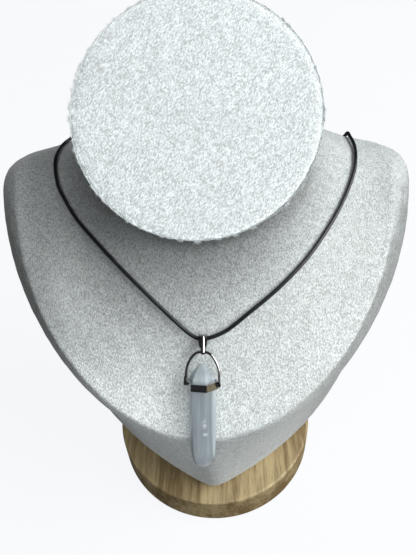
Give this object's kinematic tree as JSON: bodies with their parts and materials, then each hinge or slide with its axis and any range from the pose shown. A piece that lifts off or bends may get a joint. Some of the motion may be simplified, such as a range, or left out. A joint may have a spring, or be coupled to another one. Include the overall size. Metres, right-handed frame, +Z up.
{
  "type": "selenite pendant necklace on a neck bust",
  "caption": "Selenite point hung from a hinged yoke and folded bail on a black cord, laid round a plush-covered neck bust on a round wooden base.",
  "frame": {"origin": "centre of the wooden base's underside", "axes": "+Z up, -Y towards the front of the chest, +X to the right as seen from the front"},
  "size_m": [0.208, 0.162, 0.2558],
  "materials": {
    "base_wood": "satin, light oak-like, grain from front to back",
    "bust_plush": "short crushed plush with a speckled pile",
    "cap_plush": "short crushed plush with a speckled pile",
    "waxed_cord": "waxed, a satin sheen on a fine twist",
    "clasp_metal": "polished dark plating",
    "bail_metal": "polished dark plating",
    "yoke_metal": "polished dark plating",
    "collar_metal": "polished dark plating",
    "selenite": "polished, milky and translucent, with fibres along its length"
  },
  "bodies": {
    "stand": {"wood_base": "base_wood", "bust_body": "bust_plush", "neck_cap": "cap_plush", "cord": "waxed_cord", "cord_clasp": "clasp_metal"},
    "bail": {"bail": "bail_metal"},
    "yoke": {"yoke": "yoke_metal"},
    "stone": {"hex_collar": "collar_metal", "crystal": "selenite"}
  },
  "joints": [
    {"name": "bail_on_cord", "type": "hinge", "parent": "stand", "child": "bail", "pos_m": [0, -0.0411, 0.1456], "axis": [-1, 0, 0], "range_deg": [0, 75]},
    {"name": "yoke_in_bail", "type": "hinge", "parent": "bail", "child": "yoke", "pos_m": [0, -0.04731, 0.14405], "axis": [-0.9797, 0.174, -0.1], "range_deg": [0, 45]},
    {"name": "crystal_in_yoke", "type": "hinge", "parent": "yoke", "child": "stone", "pos_m": [-0.00068, -0.05676, 0.13429], "axis": [-0.9797, 0.174, -0.1], "range_deg": [0, 50]}
  ]
}
